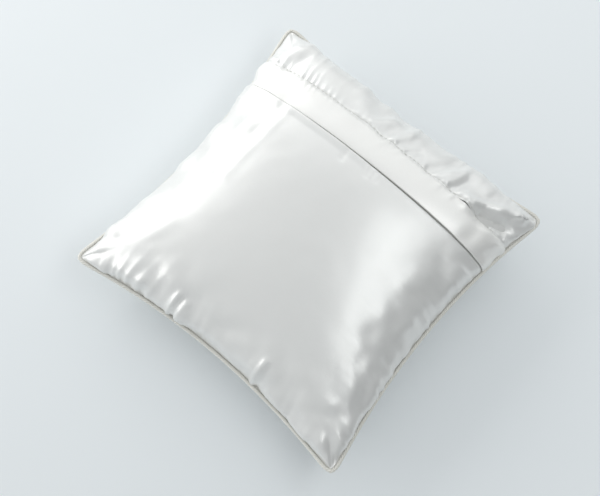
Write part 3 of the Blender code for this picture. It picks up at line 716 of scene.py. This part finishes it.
def build_panel():
    """Main back panel, whose end dips under the fold of the lap."""
    def span(a, b):
        u = 2 * a - 1
        return u, -1 + b * (cross_cloth(u, PANEL_END_Y) + 1)

    def place(u, v):
        x, y = (back_skin(u, v)[..., k] for k in (0, 1))
        opening = ease(x, -0.055, 0.055)
        gap = 0.80 * MM + 0.65 * MM * opening
        start = FOLD_Y - (0.4 + 1.2 * opening) * MM
        sunk = gap * ease(y, start, FOLD_Y + (0.02 + 0.28 * opening) * MM)
        sunk = sunk * (1 - 0.6 * np.abs(u) ** 12)
        sunk = sunk - (1 - opening) * 0.75 * MM * ease(y, FOLD_Y - 6 * MM, FOLD_Y - 1 * MM) * (
            1 - ease(y, start, FOLD_Y))
        return back_cloth(u, v) - facing(back_skin, u, v) * sunk[..., None]

    panel = sheet_over("cover_back_panel", 190, 150, span, place, closer=0.8)
    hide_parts("back_panel")


def build_flap():
    """Flap of the back, from the topstitching to the corded edge."""
    def span(a, b):
        u = 2 * a - 1
        low = cross_cloth(u, STITCH_Y - 0.1 * MM)
        return u, low + b * (1 - low)

    flap = sheet_over("cover_flap", 260, 46, span, back_cloth)
    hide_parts("back_flap")


def build_front():
    front = sheet_over("cover_front_panel", 150, 150, lambda a, b: (2 * a - 1, 2 * b - 1),
                       front_cloth)
    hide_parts("front_panel")


LAP_TOP = 0.75 * MM
LAP_UNDER = -0.65 * MM


def lap_band(name, x_start, x_end, columns, side, body):
    """Folded band: over its top from the stitches, round the fold, and back underneath."""
    shape = new_grid(columns, 44)

    def place(a, b):
        turn = b * 2 * math.pi
        flat = np.cos(turn)
        shared = (1 - np.sign(flat) * np.abs(flat) ** 0.55) / 2
        y = LAP_BACK - shared * (LAP_BACK - FOLD_Y)
        rise = np.sin(turn)
        rounded = np.sign(rise) * np.abs(rise) ** 0.35
        u0 = cross_cloth(np.zeros_like(a), y)
        if x_end is None:
            start = along_cloth(x_start, u0)
            u = side * (start + (1 - start) * a)
        else:
            start, end = along_cloth(x_start, u0), along_cloth(x_end, u0)
            u = start + (end - start) * a
        v = cross_cloth(u, y)
        middle, reach = (LAP_TOP + LAP_UNDER) / 2, (LAP_TOP - LAP_UNDER) / 2
        lift = middle + reach * rounded
        swell = 0.35 * MM * np.sin(np.pi * np.clip(shared, 0, 1)) * (rounded > 0)
        return back_cloth(u, v, lift=lift + swell, gain=0.35)

    place_points(shape, place)
    scale_cloth(shape, 0.2, 0.04)
    bmesh.ops.remove_doubles(shape, verts=shape.verts, dist=1e-6)
    edges = [edge for edge in shape.edges if edge.is_boundary]
    bmesh.ops.holes_fill(shape, edges=edges, sides=0)
    outward(shape)
    for edge in edges:
        edge.smooth = False
    piece = finish_piece(name, shape, LAP_SATIN_PAINTED_LIGHTER, body)
    return piece


def build_lap():
    """Lap over the zip, and its two sewn ends."""
    lap = lap_band("lap_band", -LAP_HALF, LAP_HALF, 150, 1, None)
    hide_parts("lap")
    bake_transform(lap)
    for name, side in (("left", -1), ("right", 1)):
        end = lap_band(f"lap_end_{name}_band", LAP_HALF + 0.02 * MM, None, 44, side, "cover")
        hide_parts(f"lap_end_{name}")


# --- Topstitching, cord and lip -----------------------------------------------------------------

def build_topstitch():
    """Single stitches laid in the groove beside the lap."""
    row_length, stitch_length, pitch = 0.162, 2.5 * MM, 3.0 * MM
    count = int(row_length / pitch)
    shape = bmesh.new()
    layer = shape.loops.layers.uv.new("cloth")
    y = STITCH_Y + 1.15 * MM
    for i in range(count):
        x = (i - (count - 1) / 2) * pitch
        ends = []
        for end in (x - stitch_length / 2, x + stitch_length / 2):
            v0 = cross_cloth(np.zeros(1), y)
            u = along_cloth(end, v0)
            v = cross_cloth(u, y)
            ends.append(Vector(back_cloth(u, v, lift=0.1 * MM)[0]))
        made = bmesh.ops.create_uvsphere(shape, u_segments=8, v_segments=6, radius=1.0,
                                         calc_uvs=False)["verts"]
        run = ends[1] - ends[0]
        turn = run.to_track_quat("Z", "Y").to_matrix().to_4x4()
        size = Matrix.Diagonal((0.26 * MM, 0.26 * MM, run.length / 2, 1))
        middle = Matrix.Translation((ends[0] + ends[1]) / 2)
        bmesh.ops.transform(shape, matrix=middle @ turn @ size, verts=made)
    for face in shape.faces:
        for loop in face.loops:
            loop[layer].uv = (loop.vert.co.x, loop.vert.co.y + loop.vert.co.z)
    piece = finish_piece("topstitch_row", shape, STITCH_THREAD, "cover")
    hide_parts("lap_topstitch")


def cord_path(offset, step):
    """Evenly spaced closed path at a distance outside the seam, rounded at its corners."""
    points = []
    bows = (SIDE_BOW, FLAP_BOW, SIDE_BOW, SIDE_BOW)
    for side, bow in enumerate(bows):
        turn = Matrix.Rotation(side * math.pi / 2, 2)
        for t in np.linspace(-1, 1, 160):
            round_in = float(corner_ease(1.0, t))
            middle = Vector((HALF * (1 - bow * (1 - t * t)), HALF * t)) * round_in
            normal = Vector((1.0, -2 * bow * t)).normalized()
            points.append(turn @ (middle + offset * normal))
        start = -math.atan(2 * bow)
        end = math.pi / 2 + math.atan(2 * bows[(side + 1) % 4])
        corner = turn @ (Vector((HALF, HALF)) * float(corner_ease(1.0, 1.0)))
        for k in range(1, 12):
            angle = start + (end - start) * k / 12
            points.append(corner + turn @ Vector((math.cos(angle), math.sin(angle))) * offset)
    flat = np.array(points + [points[0]])
    length = np.concatenate(([0], np.cumsum(np.linalg.norm(np.diff(flat, axis=0), axis=1))))
    count = int(length[-1] / step)
    at = np.arange(count) / count * length[-1]
    path = np.stack([np.interp(at, length, flat[:, k]) for k in (0, 1)], axis=-1)
    return path, length[-1]


def tube(centre, side, up, radius, sides):
    """Closed round tube through centres, from a grid rolled along them."""
    rings = len(centre)
    shape = new_grid(rings, sides)

    def place(a, b):
        i = np.rint(a * rings).astype(int) % rings
        angle = b * 2 * math.pi
        return (centre[i] + radius * (np.cos(angle)[:, None] * side[i]
                                      + np.sin(angle)[:, None] * up[i]))

    place_points(shape, place)
    return shape


def build_cord():
    """Three strands laid round each other, along the seam."""
    lay, strand_radius, twist_pitch = 0.56 * MM, 0.62 * MM, 5.4 * MM
    path, length = cord_path(CORD_OFFSET - 0.5 * MM, 0.62 * MM)
    count = len(path)
    ahead, behind = np.roll(path, -1, axis=0), np.roll(path, 1, axis=0)
    forward = ahead - behind
    forward /= np.linalg.norm(forward, axis=1, keepdims=True)
    out = np.stack((forward[:, 1], -forward[:, 0], np.zeros(count)), axis=-1)
    up = np.tile((0.0, 0.0, 1.0), (count, 1))
    middle = np.concatenate((path, np.full((count, 1), SEAM_HEIGHT)), axis=1)
    turns = round(length / twist_pitch)
    shape = bmesh.new()
    for strand in range(3):
        angle = 2 * math.pi * (np.arange(count) / count * turns + strand / 3)
        centre = middle + lay * (np.cos(angle)[:, None] * out + np.sin(angle)[:, None] * up)
        part = tube(centre, out, up, strand_radius, 7)
        layer = part.loops.layers.uv.active
        for face in part.faces:
            for loop in face.loops:
                loop[layer].uv = (loop[layer].uv[0] * length, loop[layer].uv[1] * 0.004)
        bmesh.ops.remove_doubles(part, verts=part.verts, dist=1e-7)
        outward(part)
        mesh = bpy.data.meshes.new("strand")
        part.to_mesh(mesh)
        part.free()
        shape.from_mesh(mesh)
        bpy.data.meshes.remove(mesh)
    piece = finish_piece("edge_cord_twist", shape, CORD_YARN, "cover")
    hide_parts("edge_cord")


def build_lip():
    """Woven tongue of the cord, sewn between the panels."""
    outer, _ = cord_path(0.5 * MM, 1.2 * MM)
    count = len(outer)
    forward = np.roll(outer, -1, axis=0) - np.roll(outer, 1, axis=0)
    forward /= np.linalg.norm(forward, axis=1, keepdims=True)
    inward = np.stack((-forward[:, 1], forward[:, 0]), axis=-1)
    corners = ((0.0, -0.25), (0.0, 0.25), (1.4, 0.27), (2.8, 0.25), (2.8, -0.25), (1.4, -0.27))
    shape = new_grid(count, len(corners))

    def place(a, b):
        i = np.rint(a * count).astype(int) % count
        k = np.rint(b * len(corners)).astype(int) % len(corners)
        edge = np.array(corners) * MM
        flat = outer[i] + inward[i] * edge[k, :1]
        return np.concatenate((flat, SEAM_HEIGHT + edge[k, 1:]), axis=1)

    place_points(shape, place)
    bmesh.ops.remove_doubles(shape, verts=shape.verts, dist=1e-7)
    outward(shape)
    piece = finish_piece("cord_lip_tape", shape, TAPE_WEAVE, "cover")
    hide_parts("cord_lip")


build_panel()
build_flap()
build_front()
build_lap()
build_topstitch()
build_cord()
build_lip()


# --- Zip, insert and ring ties --------------------------------------------------------------

def zip_place(along, p, q):
    """Point in the zip's frame: along its path, p towards the flap, q outwards."""
    angle = along / ARC_RADIUS
    rho = ARC_RADIUS - math.sin(ZIP_TILT) * p + math.cos(ZIP_TILT) * q
    y = ZIP_Y + math.cos(ZIP_TILT) * p + math.sin(ZIP_TILT) * q
    return Vector((rho * math.sin(angle), y, ARC_HEIGHT + rho * math.cos(angle)))


def build_coil(word, side):
    """Nylon loops in a row, each a rounded bar with a thicker head, on a core cord."""
    shape = bmesh.new()
    pitch, half = 1.45 * MM, ZIP_LENGTH / 2 - 3.6 * MM
    bar = Vector((0.62, 1.56, 1.34)) * MM
    count = int(2 * half / pitch)
    for i in range(count):
        at = (i - (count - 1) / 2) * pitch + side * pitch / 4
        made = bmesh.ops.create_cube(shape, size=1.0)["verts"]
        edges = list({edge for vert in made for edge in vert.link_edges})
        rounded = bmesh.ops.bevel(shape, geom=edges, offset=0.24, segments=2, profile=0.5,
                                  affect="EDGES", material=-1, clamp_overlap=True)
        for vert in {*rounded["verts"], *(v for v in made if v.is_valid)}:
            head = 1.25 if vert.co.y * side < 0 else 0.85
            offset = vert.co.copy()
            vert.co = zip_place(at + offset.x * bar.x * head, side * 1.3 * MM + offset.y * bar.y,
                                -CHAIN_DEPTH + offset.z * bar.z)
    core = bmesh.ops.create_grid(shape, x_segments=60, y_segments=6, size=0.5)["verts"]
    for vert in core:
        angle = (vert.co.y + 0.5) * 2 * math.pi
        vert.co = zip_place(vert.co.x * 2 * half, side * (1.5 * MM + 0.3 * MM * math.cos(angle)),
                            -CHAIN_DEPTH + 0.5 * MM * math.sin(angle))
    bmesh.ops.remove_doubles(shape, verts=shape.verts, dist=1e-7)
    bmesh.ops.holes_fill(shape, edges=[edge for edge in shape.edges if edge.is_boundary], sides=0)
    bmesh.ops.recalc_face_normals(shape, faces=shape.faces)
    piece = finish_piece(f"zip_coil_{word}_loops", shape, COIL_NYLON, "cover")
    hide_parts(f"zip_coil_{word}")


def swell_points(shape, wave):
    """Small uneven puckers across a soft part, along its own faces' directions."""
    shape.normal_update()
    chance = np.random.default_rng(31).uniform(0, 6.3, 4)
    for vert in shape.verts:
        x, y, z = vert.co / MM
        rise = math.sin(x * 0.9 + chance[0]) * math.sin(y * 0.7 + chance[1])
        rise += 0.6 * math.sin(x * 2.1 - y * 1.3 + chance[2])
        rise += 0.4 * math.sin(y * 2.7 + z + chance[3])
        vert.co += vert.normal * wave * rise * 0.5


def bent_edges(shape, degrees):
    return [edge for edge in shape.edges
            if edge.is_manifold and edge.calc_face_angle(0) > math.radians(degrees)]


def soft_part(node, name, finish, cuts, wave):
    """Finer, softly uneven piece in place of a plain drawn part."""
    shape = bmesh.new()
    shape.from_mesh(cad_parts[node].data)
    bmesh.ops.remove_doubles(shape, verts=shape.verts, dist=1e-6)
    bmesh.ops.join_triangles(shape, faces=shape.faces, angle_face_threshold=math.radians(40),
                             angle_shape_threshold=math.radians(60))
    sharp = set(bent_edges(shape, 50))
    long_or_soft = [edge for edge in shape.edges
                    if edge not in sharp or edge.calc_length() > 1.5 * MM]
    bmesh.ops.subdivide_edges(shape, edges=long_or_soft, cuts=cuts, use_grid_fill=True,
                              smooth=0.0)
    bmesh.ops.triangulate(shape, faces=[f for f in shape.faces if len(f.verts) > 4])
    swell_points(shape, wave)
    outward(shape)
    for edge in bent_edges(shape, 45):
        edge.smooth = False
    piece = finish_piece(name, shape, finish, "cover")
    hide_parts(node)


def build_zip():
    """Coils and tapes, and the drawn metal parts with their finish."""
    for word, side in (("upper", 1), ("lower", -1)):
        build_coil(word, side)
    for word in ("upper", "lower"):
        soft_part(f"zip_tape_{word}", f"zip_tape_{word}_weave", TAPE_WEAVE, 3, 0.02 * MM)
    for name in ("zip_slider", "zip_pull_tab", "zip_top_stop_upper", "zip_top_stop_lower",
                 "zip_bottom_stop"):
        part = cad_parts[name]
        for material_slot in part.material_slots:
            material_slot.material = ZIP_METAL


def build_insert():
    for node, name, finish, slot_name in (
            ("insert_cover_back", "insert_back_cotton", INSERT_COTTON, "cotton"),
            ("insert_cover_front", "insert_front_cotton", INSERT_COTTON, "cotton"),
            ("insert_fill", "insert_fibre", FILL_FIBRE, "fibre")):
        soft_part(node, name, finish, 2, 0.08 * MM)


def build_ring_ties():
    for part in ("knot", "loop_left", "loop_right", "tail_left", "tail_right"):
        soft_part(f"ring_tie_{part}", f"ring_tie_{part}_ribbon", BOW_RIBBON, 3,
                  0.05 * MM)


build_zip()
build_insert()
build_ring_ties()


# --- Table, light and camera -----------------------------------------------------------------

def build_stage():
    """Pale table under the pillow."""
    shape = bmesh.new()
    bmesh.ops.create_grid(shape, x_segments=8, y_segments=8, size=1.6)
    bmesh.ops.translate(shape, verts=shape.verts, vec=(0, 0, -0.2 * MM))
    material, nodes, links, shader = new_finish("table_top")
    shader.inputs["Base Color"].default_value = (0.85, 0.885, 0.90, 1)
    shader.inputs["Roughness"].default_value = 0.6
    shader.inputs["Specular IOR Level"].default_value = 0.2
    finish_piece("table", shape, material, None)


def build_room_light():
    """Even pale light from all round, dimmer low down at the side away from the window."""
    world = bpy.data.worlds.new("room")
    bpy.context.scene.world = world
    world.use_nodes = True
    nodes, links = world.node_tree.nodes, world.node_tree.links
    air = nodes["Background"]
    air.inputs["Color"].default_value = (0.92, 0.95, 0.97, 1)
    towards = add_node(nodes, "ShaderNodeTexCoord")
    side = add_node(nodes, "ShaderNodeVectorMath", operation="DOT_PRODUCT")
    side.inputs[1].default_value = (0.95, 0.20, 0.10)
    dim = add_node(nodes, "ShaderNodeMapRange", From_Min=0.45, From_Max=0.9,
                   To_Min=0.60, To_Max=0.12)
    links.new(towards.outputs["Generated"], side.inputs[0])
    links.new(side.outputs["Value"], dim.inputs["Value"])
    links.new(dim.outputs["Result"], air.inputs["Strength"])


def add_light(name, azimuth, elevation, distance, size, power, colour):
    """Soft lamp.  Azimuth is measured from +X towards +Y."""
    lamp = bpy.data.lights.new(name, "AREA")
    lamp.shape = "RECTANGLE"
    lamp.size, lamp.size_y = size
    lamp.energy = power
    lamp.color = colour
    item = bpy.data.objects.new(name, lamp)
    bpy.context.scene.collection.objects.link(item)
    a, e = math.radians(azimuth), math.radians(elevation)
    away = Vector((math.cos(a) * math.cos(e), math.sin(a) * math.cos(e), math.sin(e)))
    item.location = Vector((0, 0, 30 * MM)) + away * distance
    item.rotation_euler = away.to_track_quat("Z", "Y").to_euler()


def build_lights():
    add_light("window_left", 182, 21, 0.8, (1.7, 0.52), 5.0, (1.0, 0.997, 0.985))
    add_light("soft_above", 28, 60, 0.9, (0.9, 0.30), 1.6, (0.98, 1.0, 1.0))
    add_light("window_back", 103, 30, 0.9, (1.2, 0.6), 1.2, (0.99, 1.0, 1.0))


def build_camera():
    """Camera that looks down on the back, turned a little past its corner."""
    azimuth, elevation, roll = (math.radians(a) for a in (38.9, 73.4, 1.3))
    distance, target = 0.701, Vector((-0.001, -0.008, SEAM_HEIGHT))
    back = Vector((math.sin(azimuth) * math.cos(elevation),
                   -math.cos(azimuth) * math.cos(elevation), math.sin(elevation)))
    right = (-back).cross(Vector((0, 0, 1))).normalized()
    up = right.cross(-back).normalized()
    tilted_right = math.cos(roll) * right + math.sin(roll) * up
    tilted_up = -math.sin(roll) * right + math.cos(roll) * up
    turn = Matrix((tilted_right, tilted_up, back)).transposed().to_4x4()
    lens = bpy.data.cameras.new("view")
    lens.lens = 72
    lens.sensor_width = 36
    lens.clip_start = 0.01
    camera = bpy.data.objects.new("view", lens)
    camera.matrix_world = Matrix.Translation(target + back * distance) @ turn
    bpy.context.scene.collection.objects.link(camera)
    bpy.context.scene.camera = camera


build_stage()
build_room_light()
build_lights()
build_camera()
bpy.context.scene.view_settings.view_transform = "Standard"
